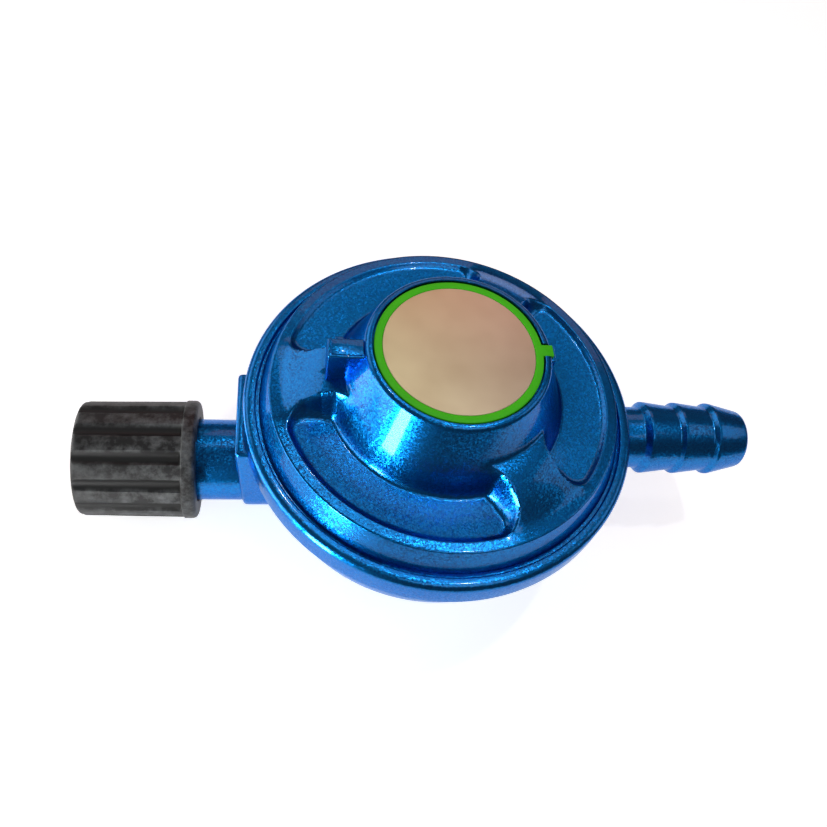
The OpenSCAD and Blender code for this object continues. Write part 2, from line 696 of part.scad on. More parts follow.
module inlet_nipple() {
    color(BRASS) turned_x([
        [-stem_end + nipple_spigot_l, nipple_bore_r], [-stem_end + nipple_spigot_l, bore_r - seated],
        [-stem_end, bore_r - seated], [-stem_end, nipple_neck_r], [-flange_x, nipple_neck_r],
        [-flange_x, nipple_flange_r], [-seal_x, nipple_flange_r], [-seal_x, nipple_nose_r],
        [-nose_x, nipple_nose_r], [-nose_x, nipple_bore_r + 0.8], [-nose_x + 2, nipple_bore_r + 0.8],
        [-nose_x + 2, nipple_bore_r]], inlet_z);
}

module inlet_filter() {
    color(BRASS) rod_x(-nose_x + 0.8, -nose_x + 2, nipple_bore_r + 0.8 - seated, inlet_z);
}

module inlet_seal() {
    color(RUBBER) translate([-seal_x - seal_wire_r, 0, inlet_z]) rotate([0, 90, 0])
        rotate_extrude() translate([nipple_nose_r + seal_wire_r + running, 0]) circle(r = seal_wire_r);
}

module nut_insert() {
    color(BRASS) turned_x([
        [-shoulder_x, nipple_neck_r + 2 * running], [-shoulder_x, insert_r], [-insert_end, insert_r],
        [-insert_end, thread_minor_d / 2 + thread_mouth], [-insert_end + thread_mouth, thread_minor_d / 2],
        [-thread_x, thread_minor_d / 2], [-thread_x, relief_r], [-shoulder_x - shoulder_t, relief_r],
        [-shoulder_x - shoulder_t, nipple_neck_r + 2 * running]], inlet_z);
}

module handwheel() {
    end_r = wheel_r - wheel_taper;
    flute_r = flute_d / 2;
    color(BLACK) difference() {
        turned_x(concat(
            [[-wheel_end, insert_r + seated]],
            arc(-wheel_end + wheel_round, end_r - wheel_round, wheel_round, 180, 95, 5),
            arc(-wheel_x - collar_round, wheel_r - collar_round, collar_round, 90, 0, 4),
            [[-wheel_x, stem_r + gap], [-shoulder_x, stem_r + gap],
             [-shoulder_x, insert_r + seated]]), inlet_z);
        for (i = [0 : flutes - 1]) translate([0, 0, inlet_z]) rotate([i * 360 / flutes, 0, 0])
            rod_x(-wheel_end - 1, -wheel_x - wheel_collar, flute_r, end_r - flute_depth + flute_r);
    }
}

lower_body();
hose_tail();
cover();
closing_cap();
rating_plate();
adjusting_screw();
spring_seat();
main_spring();
spring_plate();
diaphragm();
backing_washer();
diaphragm_post();
post_nut();
lever();
lever_pin();
lever_bracket();
bracket_screws();
valve_plunger();
valve_pad();
orifice_jet();
flow_seat();
flow_poppet();
flow_spring();
flow_retainer();
inlet_nipple();
inlet_filter();
inlet_seal();
nut_insert();
handwheel();
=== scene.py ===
# %% [markdown]
# # A low-pressure gas regulator
# This object sits between a gas bottle and a hose. A black handwheel screws onto the bottle, a blue
# painted casting holds a rubber diaphragm and a spring, and a barbed tail takes the hose. The packed
# model already has every piece at its true size, with its joints. Here the visible pieces get their
# cast, moulded and painted surfaces.

# %% Load the fixed frame
import json
import math
import bpy
from mathutils import Matrix, Vector


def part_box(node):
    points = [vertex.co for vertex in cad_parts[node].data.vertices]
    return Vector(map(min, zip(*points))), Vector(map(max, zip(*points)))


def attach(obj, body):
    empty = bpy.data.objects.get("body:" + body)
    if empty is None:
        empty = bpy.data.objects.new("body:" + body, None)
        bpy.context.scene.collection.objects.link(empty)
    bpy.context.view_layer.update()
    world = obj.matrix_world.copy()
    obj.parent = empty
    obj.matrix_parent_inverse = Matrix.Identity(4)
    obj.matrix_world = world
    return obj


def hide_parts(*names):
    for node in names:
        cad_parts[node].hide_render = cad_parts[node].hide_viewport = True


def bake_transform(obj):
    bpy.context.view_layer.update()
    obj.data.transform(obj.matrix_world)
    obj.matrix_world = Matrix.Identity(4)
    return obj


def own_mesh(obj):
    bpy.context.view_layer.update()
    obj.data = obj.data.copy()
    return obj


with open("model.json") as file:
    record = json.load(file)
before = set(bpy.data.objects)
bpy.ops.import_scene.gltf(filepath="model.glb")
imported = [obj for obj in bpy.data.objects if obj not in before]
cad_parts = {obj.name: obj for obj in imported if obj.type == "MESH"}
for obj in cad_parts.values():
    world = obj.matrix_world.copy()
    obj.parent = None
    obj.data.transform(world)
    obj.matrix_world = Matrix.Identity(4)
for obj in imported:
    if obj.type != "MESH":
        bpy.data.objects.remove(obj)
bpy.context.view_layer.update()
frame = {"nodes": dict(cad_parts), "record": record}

MM = 0.001

# %% [markdown]
# ## The camera
# A regulator is small, so it is seen from close by, and a close camera makes the near side look
# larger. The camera could be aimed with a tracking constraint, but three angles are easier to check:
# which way it looks round the object, how far it looks down, and how far it is rolled.

# %% Place the camera
azimuth, elevation, roll = (math.radians(a) for a in (-17.36, 57.07, 15.90))
back = Vector((math.sin(azimuth) * math.cos(elevation), -math.cos(azimuth) * math.cos(elevation),
               math.sin(elevation)))
right = Vector((math.cos(azimuth), math.sin(azimuth), 0))
above = back.cross(right)
rolled_right = math.cos(roll) * right + math.sin(roll) * above
rolled_above = math.cos(roll) * above - math.sin(roll) * right
bpy.ops.object.camera_add()
camera = bpy.context.object
camera.name = "camera"
camera.data.lens = 36.364
camera.data.sensor_width = 36
camera.data.clip_start = 0.01
camera.matrix_world = (Matrix.Translation((-0.0284, -0.0765, 0.1533))
                       @ Matrix((rolled_right, rolled_above, back)).transposed().to_4x4())
bpy.context.scene.camera = camera
bpy.context.scene.view_settings.view_transform = "Standard"
print("camera at", [round(c / MM, 1) for c in camera.matrix_world.translation], "mm")

# %% [markdown]
# ## Helpers for turned and rounded shapes
# Most of this object was turned or cast round an axis. The way to make such a piece by hand is to
# draw half of its section and spin it. The section starts as a circle with one vertex per corner,
# because a circle is already a closed loop. Real corners are never sharp, so a small function rounds
# the corners of a section before it is spun.

# %% Round the corners of a section
def rounded(corners, steps=5):
    """Corners (a, b) or (a, b, radius) of a closed section, in mm, with arcs where a radius is given."""
    points = []
    for i, corner in enumerate(corners):
        here = Vector(corner[:2])
        radius = corner[2] if len(corner) > 2 else 0
        to_last = (Vector(corners[i - 1][:2]) - here).normalized()
        to_next = (Vector(corners[(i + 1) % len(corners)][:2]) - here).normalized()
        opening = to_last.angle(to_next) if radius else math.pi
        if opening > math.pi - 0.02:
            points.append(here[:])
            continue
        reach = radius / math.tan(opening / 2)
        middle = here + (to_last + to_next).normalized() * radius / math.sin(opening / 2)
        start, end = here + to_last * reach - middle, here + to_next * reach - middle
        sweep = start.angle_signed(end)
        for k in range(steps + 1):
            turn = -sweep * k / steps
            points.append((middle.x + start.x * math.cos(turn) - start.y * math.sin(turn),
                           middle.y + start.x * math.sin(turn) + start.y * math.cos(turn)))
    return points


# %% Spin a section into a turned piece
def pick(piece):
    """Selects one piece alone and makes it the active one."""
    bpy.ops.object.select_all(action="DESELECT")
    bpy.context.view_layer.objects.active = piece
    piece.select_set(True)


def start_loop(name, count, fill="NOTHING"):
    """A circle of vertices that a section is laid on: a bare loop, or one face with fill NGON."""
    bpy.ops.object.select_all(action="DESELECT")
    bpy.ops.mesh.primitive_circle_add(vertices=count, radius=MM, fill_type=fill)
    piece = bpy.context.object
    piece.name = piece.data.name = name
    return piece


def clean_edit(*actions):
    """Runs edit-mode operators on all of the active piece, then goes back to object mode."""
    bpy.ops.object.mode_set(mode="EDIT")
    for action in actions:
        bpy.ops.mesh.select_all(action="SELECT")
        action()
    bpy.ops.object.mode_set(mode="OBJECT")


def turned(name, section, steps, height=None):
    """Spins a section, in mm: (radius, z) about Z, or (x, radius) about X at the given height."""
    piece = start_loop(name, len(section))
    for vertex, (a, b) in zip(piece.data.vertices, section):
        vertex.co = (a * MM, 0, (b if height is None else height + b) * MM)
    axis = (0, 0, 1) if height is None else (1, 0, 0)
    centre = (0, 0, (height or 0) * MM)
    clean_edit(
        lambda: bpy.ops.mesh.spin(steps=steps, angle=2 * math.pi, center=centre, axis=axis),
        lambda: bpy.ops.mesh.remove_doubles(threshold=MM / 2000),
        lambda: bpy.ops.mesh.delete_loose(use_verts=True, use_edges=True, use_faces=False),
        lambda: bpy.ops.mesh.normals_make_consistent(inside=False))
    return piece


# %% Fuse, cut and smooth
def fuse(piece, others, operation="UNION"):
    """Joins the others to the piece, or cuts them out of it, with boolean modifiers, and merges the
    needle-thin faces that they leave."""
    for other in others:
        modifier = piece.modifiers.new("fuse", "BOOLEAN")
        modifier.operation, modifier.object, modifier.solver = operation, other, "EXACT"
        pick(piece)
        bpy.ops.object.modifier_apply(modifier=modifier.name)
        bpy.data.objects.remove(other)
    clean_edit(lambda: bpy.ops.mesh.remove_doubles(threshold=MM / 1000),
               lambda: bpy.ops.mesh.dissolve_degenerate(threshold=MM / 1000))


def block(low, high, soft, segments=3):
    """A box between two corners, in mm, with its edges bevelled by soft, or left sharp at 0."""
    bpy.ops.object.select_all(action="DESELECT")
    bpy.ops.mesh.primitive_cube_add(size=1)
    piece = bpy.context.object
    for vertex in piece.data.vertices:
        vertex.co = [(a if c < 0 else b) * MM for a, b, c in zip(low, high, vertex.co)]
    if soft:
        clean_edit(lambda: bpy.ops.mesh.bevel(offset=soft * MM, segments=segments, affect="EDGES"))
    return piece


def rod(start, end, radius, painted_light_across, y=0, upright=False):
    """A round bar from start to end, in mm: along X at the height across, or upright at x = across."""
    bpy.ops.object.select_all(action="DESELECT")
    bpy.ops.mesh.primitive_cylinder_add(vertices=96, radius=radius * MM, depth=(end - start) * MM)
    piece = bpy.context.object
    middle = (start + end) / 2
    place = (Matrix.Translation(Vector((painted_light_across, y, middle)) * MM) if upright else
             Matrix.Translation(Vector((middle, y, painted_light_across)) * MM) @ Matrix.Rotation(math.pi / 2, 4, "Y"))
    piece.data.transform(place)
    return piece


def smooth(piece, angle=35):
    """Shades the piece smooth, except across edges sharper than the angle."""
    pick(piece)
    bpy.ops.object.shade_smooth_by_angle(angle=math.radians(angle))


# %% [markdown]
# ## Helpers for finishes
# Every finish is a Principled shader with a few pattern nodes in front of it. Patterns read Object
# coordinates, which are metres here, so a grain of g millimetres needs a scale of about 1000 / g.

# %% Colours, nodes and a start for each finish
def colour(code):
    """An sRGB hex value as the linear colour that Blender works in."""
    values = [int(code[i:i + 2], 16) / 255 for i in (1, 3, 5)]
    return [v / 12.92 if v <= 0.04045 else ((v + 0.055) / 1.055) ** 2.4 for v in values] + [1]


def add(material, kind, settings=None, **links):
    """Adds a node. Settings are its properties and socket values; links go to sockets by name."""
    node = material.node_tree.nodes.new(kind)
    for name, value in (settings or {}).items():
        if isinstance(name, str) and hasattr(node, name):
            setattr(node, name, value)
        else:
            node.inputs[name].default_value = value
    for name, source in links.items():
        target = node.inputs[int(name[1:]) if name[1:].isdigit() else name.replace("_", " ")]
        material.node_tree.links.new(source, target)
    return node


def finish_start(name, **settings):
    """A new material with one Principled shader, whose own sockets take the settings."""
    material = bpy.data.materials.new(name)
    material.use_nodes = True
    shader = material.node_tree.nodes["Principled BSDF"]
    for socket, value in settings.items():
        shader.inputs[socket.replace("_", " ")].default_value = value
    return material, shader, add(material, "ShaderNodeTexCoord").outputs["Object"]


def join(material, output, shader, socket):
    """Links a pattern's output to a socket of the shader."""
    material.node_tree.links.new(output, shader.inputs[socket])


# %% [markdown]
# ## Blue metallic enamel
# The casting is zinc, sprayed with a blue paint full of aluminium flakes and stoved. Each flake lies
# at its own small angle, so under one lamp a few flash and the rest stay dark. That is the fine
# sparkle, and it could be painted as white dots, but then it would not change with the light. Here
# each flake is a Voronoi cell that tips the surface's normal and shifts its colour a little. Real
# flakes are about 0.05 mm, and they are drawn at about 0.2 mm, so that they show.

# %% Make the blue enamel
def blue_enamel(name, flake_mm=0.22, tip=0.16):
    """Flakes of a size that tip the normal and shift the colour, under a clear coat."""
    material, shader, place = finish_start(name, Metallic=1, Roughness=0.28, Coat_Weight=0.38,
                                           Coat_Roughness=0.08, Specular_Tint=colour("#8FC0EE"))
    flakes = add(material, "ShaderNodeTexVoronoi", {"Scale": 1000 / flake_mm}, Vector=place)
    cloud = add(material, "ShaderNodeTexNoise", {"Scale": 90, "Detail": 3, "Roughness": 0.55},
                Vector=place)
    parts = add(material, "ShaderNodeSeparateColor", Color=flakes.outputs["Color"])
    tone = add(material, "ShaderNodeMath", {"operation": "MULTIPLY_ADD", 1: 0.75},
               _0=parts.outputs["Red"],
               _2=add(material, "ShaderNodeMath", {"operation": "MULTIPLY", 1: 0.3},
                      _0=cloud.outputs["Fac"]).outputs["Value"])
    shade = add(material, "ShaderNodeMapRange", {"From Min": 0.05, "From Max": 1.0},
                Value=tone.outputs["Value"])
    blues = add(material, "ShaderNodeMix",
                {"data_type": "RGBA", 6: colour("#055CA6"), 7: colour("#0C81CC")},
                _0=shade.outputs["Result"])
    centred = add(material, "ShaderNodeVectorMath", {"operation": "SUBTRACT", 1: (0.5, 0.5, 0.5)},
                  _0=flakes.outputs["Color"])
    tipped = add(material, "ShaderNodeVectorMath", {"operation": "SCALE", "Scale": tip},
                 _0=centred.outputs["Vector"])
    facing = add(material, "ShaderNodeNewGeometry")
    summed = add(material, "ShaderNodeVectorMath", {"operation": "ADD"},
                 _0=facing.outputs["Normal"], _1=tipped.outputs["Vector"])
    normal = add(material, "ShaderNodeVectorMath", {"operation": "NORMALIZE"}, _0=summed.outputs["Vector"])
    join(material, blues.outputs[2], shader, "Base Color")
    join(material, normal.outputs["Vector"], shader, "Normal")
    return material


blue = blue_enamel("blue_metallic_enamel")
print("enamel nodes:", len(blue.node_tree.nodes))

# %% [markdown]
# ## Moulded plastics
# The handwheel is glass-filled nylon from a spark-eroded mould: dark grey, satin, with a grain of
# about 0.3 mm. Hands and spanners polish and scratch the tops of its lobes, and the tops also carry
# painted light, so they are paler than the flutes. How far a point lies from the wheel's axis tells
# lobe from flute, so no mask has to be drawn. The cap is bright green polypropylene, which is
# smoother and a little waxy.

# %% Make the black nylon
INLET_Z = 11.7
# Between these radii the wheel turns paler: scuffs, and painted light where the lobe tops catch it
PLAIN_FLUTE_R, WORN_AND_LIT_R = 9.9, 10.7


def black_nylon():
    """A grained dark nylon, paler out on the lobe tops, with real scuffs and a painted sheen."""
    material, shader, place = finish_start("moulded_black_nylon", Metallic=0, IOR=1.53,
                                           Specular_IOR_Level=0.3)
    grain = add(material, "ShaderNodeTexNoise", {"Scale": 3200, "Detail": 2}, Vector=place)
    smear = add(material, "ShaderNodeTexNoise", {"Scale": 420, "Detail": 5, "Roughness": 0.65},
                Vector=place)
    moved = add(material, "ShaderNodeMapping", {"Location": (0, 0, -INLET_Z * MM), "Scale": (0, 1, 1)},
                Vector=place)
    reach = add(material, "ShaderNodeVectorMath", {"operation": "LENGTH"}, _0=moved.outputs["Vector"])
    lobe = add(material, "ShaderNodeMapRange", {"From Min": PLAIN_FLUTE_R * MM, "From Max": WORN_AND_LIT_R * MM},
               Value=reach.outputs["Value"])
    # Paler lobe tops: real scuffs, and a painted sheen for the light that they catch
    scuff_and_sheen = add(material, "ShaderNodeMath", {"operation": "MULTIPLY"},
                _0=lobe.outputs["Result"],
                _1=add(material, "ShaderNodeMapRange", {"From Min": 0.42, "From Max": 0.68},
                       Value=smear.outputs["Fac"]).outputs["Result"])
    greys = add(material, "ShaderNodeMix",
                {"data_type": "RGBA", 6: colour("#151515"), 7: colour("#585A5A")},
                _0=scuff_and_sheen.outputs["Value"])
    gloss = add(material, "ShaderNodeMapRange", {"To Min": 0.42, "To Max": 0.6},
                Value=smear.outputs["Fac"])
    bump = add(material, "ShaderNodeBump", {"Strength": 0.25, "Distance": 0.03 * MM},
               Height=grain.outputs["Fac"])
    join(material, greys.outputs[2], shader, "Base Color")
    join(material, gloss.outputs["Result"], shader, "Roughness")
    join(material, bump.outputs["Normal"], shader, "Normal")
    return material


black = black_nylon()

# %% Make the green polypropylene and the grey acetal
def plain_plastic(name, dark, pale, roughness, grain_mm, depth_mm, ior=1.49, shine=0.5):
    """A moulded plastic with a soft change of colour and a fine mould grain."""
    material, shader, place = finish_start(name, Metallic=0, Roughness=roughness, IOR=ior,
                                           Specular_IOR_Level=shine)
    drift = add(material, "ShaderNodeTexNoise", {"Scale": 160, "Detail": 3}, Vector=place)
    grain = add(material, "ShaderNodeTexNoise", {"Scale": 1000 / grain_mm, "Detail": 2}, Vector=place)
    tones = add(material, "ShaderNodeMix", {"data_type": "RGBA", 6: colour(dark), 7: colour(pale)},
                _0=drift.outputs["Fac"])
    bump = add(material, "ShaderNodeBump", {"Strength": 0.3, "Distance": depth_mm * MM},
               Height=grain.outputs["Fac"])
    join(material, tones.outputs[2], shader, "Base Color")
    join(material, bump.outputs["Normal"], shader, "Normal")
    return material


green = plain_plastic("green_polypropylene", "#3CCA04", "#4CDA0A", 0.42, 0.3, 0.02, shine=0.25)
acetal = plain_plastic("grey_acetal", "#7F8386", "#9A9DA0", 0.35, 0.4, 0.02, 1.48)
# Nitrile rubber is matt and nearly black, with a faint bloom from handling
rubber = plain_plastic("nitrile_rubber", "#1E2021", "#333637", 0.7, 0.25, 0.04, 1.52)

# %% [markdown]
# ## Metals
# The plate on top is thin aluminium, lacquered a pale champagne and left blank. Its satin comes from
# fine rolling lines. Turned brass shows tool rings, zinc plating shows a cloudy, slightly blue
# passivation, drawn spring wire has faint lines, and a sintered filter is made of round grains.

# %% Make the champagne aluminium plate
def champagne_aluminium():
    """Rolled lines across the plate, with painted light: a slow change of tone, paler on its left than its
    right.
    """
    material, shader, place = finish_start("champagne_aluminium", Metallic=0.3, Roughness=0.42)
    drawn = add(material, "ShaderNodeMapping", {"Scale": (0.04, 1, 1), "Rotation": (0, 0, 0.28)},
                Vector=place)
    lines = add(material, "ShaderNodeTexNoise", {"Scale": 5000, "Detail": 3},
                Vector=drawn.outputs["Vector"])
    cloud = add(material, "ShaderNodeTexNoise", {"Scale": 110, "Detail": 2, "Roughness": 0.5},
                Vector=place)
    shift = add(material, "ShaderNodeSeparateXYZ", Vector=place)
    # Painted light: the flat plate is paler on its left side, towards the low lamps
    painted_light_across = add(material, "ShaderNodeMapRange", {"From Min": -11 * MM, "From Max": 9 * MM},
                 Value=shift.outputs["X"])
    base = add(material, "ShaderNodeMix",
               {"data_type": "RGBA", 6: colour("#E2D3A6"), 7: colour("#DCC8AC")},
               _0=painted_light_across.outputs["Result"])
    mottled = add(material, "ShaderNodeMix", {"data_type": "RGBA", "blend_type": "MULTIPLY",
                                              7: colour("#ECE6E0")},
                  _0=add(material, "ShaderNodeMapRange", {"From Min": 0.35, "From Max": 0.75},
                         Value=cloud.outputs["Fac"]).outputs["Result"],
                  _6=base.outputs[2])
    gloss = add(material, "ShaderNodeMapRange", {"To Min": 0.34, "To Max": 0.48},
                Value=lines.outputs["Fac"])
    bump = add(material, "ShaderNodeBump", {"Strength": 0.15, "Distance": 0.01 * MM},
               Height=lines.outputs["Fac"])
    join(material, mottled.outputs[2], shader, "Base Color")
    join(material, gloss.outputs["Result"], shader, "Roughness")
    join(material, bump.outputs["Normal"], shader, "Normal")
    return material


champagne = champagne_aluminium()

# %% Make the inner metals
def plain_metal(name, dark, pale, roughness, pattern_mm, squeeze=(1, 1, 1), depth_mm=0.01):
    """A bare metal whose pattern has a size in mm; squeeze stretches it into lines or rings."""
    material, shader, place = finish_start(name, Metallic=1)
    drawn = add(material, "ShaderNodeMapping", {"Scale": squeeze}, Vector=place)
    marks = add(material, "ShaderNodeTexNoise", {"Scale": 1000 / pattern_mm, "Detail": 3},
                Vector=drawn.outputs["Vector"])
    tones = add(material, "ShaderNodeMix", {"data_type": "RGBA", 6: colour(dark), 7: colour(pale)},
                _0=marks.outputs["Fac"])
    gloss = add(material, "ShaderNodeMapRange", {"To Min": roughness - 0.06, "To Max": roughness + 0.08},
                Value=marks.outputs["Fac"])
    bump = add(material, "ShaderNodeBump", {"Strength": 0.2, "Distance": depth_mm * MM},
               Height=marks.outputs["Fac"])
    join(material, tones.outputs[2], shader, "Base Color")
    join(material, gloss.outputs["Result"], shader, "Roughness")
    join(material, bump.outputs["Normal"], shader, "Normal")
    return material


# Tool rings on a bar turned along X repeat along X only, and stretch round the bar
brass = plain_metal("turned_brass", "#B8903F", "#D9B666", 0.26, 0.25, (1, 0.05, 0.05))
zinc = plain_metal("zinc_passivated_steel", "#9DA3A8", "#C2C7CB", 0.34, 1.5)
wire = plain_metal("drawn_spring_steel", "#7C8185", "#A3A8AC", 0.28, 0.3)
bronze = plain_metal("sintered_bronze_grains", "#8A6A3A", "#C39A5C", 0.5, 0.35, depth_mm=0.12)
FINISHES = {"blue_paint": blue, "black_plastic": black, "green_plastic": green, "grey_plastic": acetal,
            "rubber": rubber, "champagne_foil": champagne, "brass": brass, "zinc_plated_steel": zinc,
            "spring_steel": wire, "sintered_bronze": bronze}
print("finishes:", ", ".join(sorted(m.name for m in FINISHES.values())))

# %% [markdown]
# ## Hand a piece over
# A finished piece gets its finish, rides on its body and hides the nodes that it stands in for, in one
# call.

# %% Fit a piece to the frame
def fit(piece, finish, body, *nodes):
    """Gives the piece its finish by slot name and its body, and hides the nodes that it stands for."""
    piece.data.materials.clear()
    piece.data.materials.append(FINISHES[finish])
    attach(piece, body)
    if nodes:
        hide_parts(*nodes)
    faces = sum(len(p.vertices) - 2 for p in piece.data.polygons)
    print(f"{piece.name}: {faces} triangles on {body}, for {', '.join(nodes) or 'no node'}")


# %% [markdown]
# ## The cover
# The cover is the piece that gives the regulator its face: a tower with a cone below it, and a dome
# with three pockets sunk between three webs. It is one die casting, so every inner corner is filled
# with a soft radius. It could be made by cutting three blocks out of a turned dome, but the cuts
# would leave hard corners that a bevel can't round evenly. So the dome is spun as a blank with many
# rows, and then the rows inside each pocket are pressed down by a smooth rule, as a die would.

# %% Heights of the dome and of the pocket floor
CAP_TOP, TOWER_R, CONE_TAPER = 49.2, 14.9, 0.4146
SHOULDER_R, SHOULDER_Z = 29.6, 37.8
CROWN_LINE = [(10, 44.1, 0.1), (20.7, 42.3, 1.6), (24, 40.6, 1.2), (27.5, 38.3, 0.6),
              (SHOULDER_R, SHOULDER_Z, 0.3)]
FLOOR_LINE = [(19, 36.85, 0.1), (23, 36.85, 1.5), (28, 37.35, 0.1)]


def soft_max(a, b, blend):
    """The larger of two values, with the corner between them rounded."""
    return max(a, b) + max(blend - abs(a - b), 0) ** 2 / (4 * blend)


def soft_min(a, b, blend):
    """The smaller of two values, with the corner between them rounded."""
    return -soft_max(-a, -b, blend)


def soft_line(points, at):
    """Height of a line through points (x, height, how softly it bends there)."""
    height, slope = points[0][1], 0
    for (x0, y0, blend), (x1, y1, _) in zip(points, points[1:]):
        grade = (y1 - y0) / (x1 - x0)
        bend = at - x0
        height += (grade - slope) * (bend / 2 + math.sqrt(bend * bend + blend * blend) / 2)
        slope = grade
    return height


def cone(r):
    """Height of the tower's steep cone at a radius."""
    return CAP_TOP - (r - TOWER_R) / CONE_TAPER


def dome(r):
    """Height of the dome, where no pocket is sunk in it."""
    return soft_max(cone(r), soft_line(CROWN_LINE, r), 0.9)


def pocket_floor(r):
    """Height of a pocket's floor, which meets the cone in a wider fillet than the dome does."""
    return soft_max(cone(r), soft_line(FLOOR_LINE, r), 1.4)


print("dome at r 20, 24, 28:", [round(dome(r), 2) for r in (20, 24, 28)])

# %% How deep each point of a pocket is pressed
WEB_MIDDLES = (60, 178.8, 302.5)
WEB_HALF = [(15, 27), (16.5, 22), (17.8, 17.5), (19.5, 13.5), (21.8, 11.5), (24.4, 11), (30, 11.5)]
POCKET_WALL, WALL_SLOPE, END_SLOPE, CORNER = 28.0, 1.15, 2.8, 4.2
LIP_ROUND, FOOT_ROUND = 0.1, 2.2
LAND_START, LAND_FADE, LAND_SLOPE = 24.5, 3.5, 0.09


def web_half(r):
    """Half of a web's angle at a radius, in degrees."""
    for (r0, a0), (r1, a1) in zip(WEB_HALF, WEB_HALF[1:]):
        if r <= r1:
            return a0 + (a1 - a0) * max(r - r0, 0) / (r1 - r0)
    return WEB_HALF[-1][1]


def eased(share):
    """A share held between 0 and 1, leaving 0 and reaching 1 softly."""
    share = min(max(share, 0), 1)
    return share * share * (3 - 2 * share)


def pressed(r, angle):
    """Height of the cover at a radius and an angle in degrees, with the three pockets. The steep outer
    wall and the gentler end wall of a pocket meet in a round corner. Between the outer wall and the
    rim the dome is lowered to a narrow land."""
    off = min(abs((angle - middle + 180) % 360 - 180) for middle in WEB_MIDDLES)
    from_wall, from_end = POCKET_WALL - r, math.radians(off - web_half(r)) * r
    if from_wall < CORNER and from_end < CORNER:
        painted_light_across, along = CORNER - from_wall, CORNER - from_end
        reach = math.hypot(painted_light_across, along)
        slope = (WALL_SLOPE * painted_light_across ** 2 + END_SLOPE * along ** 2) / reach ** 2
        inside = (CORNER - reach) / slope
    else:
        inside = min(from_wall / WALL_SLOPE, from_end / END_SLOPE)
    inside = min(max(inside, 0), 1)
    share = 1 - (1 - (1 + LIP_ROUND) * inside * inside / (inside + LIP_ROUND)) ** FOOT_ROUND
    level = SHOULDER_Z + LAND_SLOPE * (SHOULDER_R - r)
    lowered = eased(from_end / CORNER) * eased((r - LAND_START) / LAND_FADE)
    land = dome(r) - lowered * max(dome(r) - level, 0)
    return land - share * (land - pocket_floor(r))


# %% Spin the blank and press the pockets
ROWS, ROWS_FROM, ROWS_TO = 92, 15.2, 29.3
radii = [ROWS_FROM + (ROWS_TO - ROWS_FROM) * k / ROWS for k in range(ROWS + 1)]
crown = [(r, dome(r)) for r in radii]
under = rounded([(29.75, 37.75, 0.35), (31.3, 33.5, 0.3), (31.3, 32.6), (32.97, 32.6), (32.97, 30.1),
                 (29.4, 30.1), (29.4, 32.6, 0.5), (27.6, 34.7, 0.5), (19, 34.7, 0.5), (17.2, 36.0),
                 (11.9, 41.0, 0.4), (11.9, 47.6, 0.2), (13.9, 47.6), (13.9, 49.3), (14.0, 49.4),
                 (14.82, 49.4, 1.0), (15.17, 48.55)], 6)
cover = turned("cover_casting", crown + under, steps=540)
for vertex in cover.data.vertices:
    x, y, z = (c / MM for c in vertex.co)
    r = math.hypot(x, y)
    if r > TOWER_R + 0.05 and abs(z - dome(r)) < 0.01:
        vertex.co.z = pressed(r, math.degrees(math.atan2(y, x))) * MM
print("cover rows:", len(crown) + len(under))

# %% [markdown]
# The tower carries a small upright block with the vent hole in it, on the inlet side, and a spur that
# holds the cap's tab on the hose side. They are bevelled boxes, fused to the casting.

# %% Add the vent block and the spur, and cut the vent and the notch
vent_block = block((-20.8, -1.8, 39), (-13.95, 1.8, 48.5), 0.25)
ledge = block((-20.2, -1.45, 47.2), (-15.2, 1.45, 48.75), 0.12, 2)
pip = block((-19.6, 1.2, 47.4), (-18.2, 2.35, 48.3), 0.2, 2)
spur = block((14.0, -1.25, 44), (15.95, 1.85, 48.42), 0.25)
fuse(cover, [vent_block, ledge, pip, spur])
fuse(cover, [rod(-22, -11, 0.8, 42.5), block((13.0, -0.95, 48.38), (17, 1.55, 50), 0)], "DIFFERENCE")
smooth(cover, 42)
fit(cover, "blue_paint", "housing", "cover")

# %% [markdown]
# ## The body casting
# Below the rim the body is a round bowl with a flat foot. The rim's edge is rolled over the cover's
# flange, so a narrow dark groove runs round it. A root boss grows out of one side and holds the
# inlet stem. The bowl is spun solid, and its chamber is cut out once the boss, the stem and the
# tail's pad are fused on, so that the inside is one clean surface.

# %% Spin the bowl
FLANK_R, FLANK_Z = 9.5, 24.5


def flank(reach):
    """The bowl's round flank, from low to high, in mm, as an arc about a ring of centres."""
    return [(FLANK_R + reach * math.cos(math.radians(a)), FLANK_Z + reach * math.sin(math.radians(a)))
            for a in range(-70, 1, 5)]


outside = rounded([(0, 0), (16.5, 0, 0.6), (16.5, 3.2, 0.2), *flank(22), (31.5, 26.2, 0.8),
                   (33.0, 27.5), (34, 27.9, 0.8), (34, 33.5, 1.2), (31.85, 33.5, 0.3), (31.85, 32.6),
                   (33, 32.6), (33, 28.9), (0, 28.9)], 6)
bowl = turned("body_casting", outside, steps=288)

# %% [markdown]
# The root boss is a section with a flat top and a round bottom, pushed out sideways: it is filled,
# extruded along the inlet's axis, and its end face is leaned by the casting's draft and bevelled.

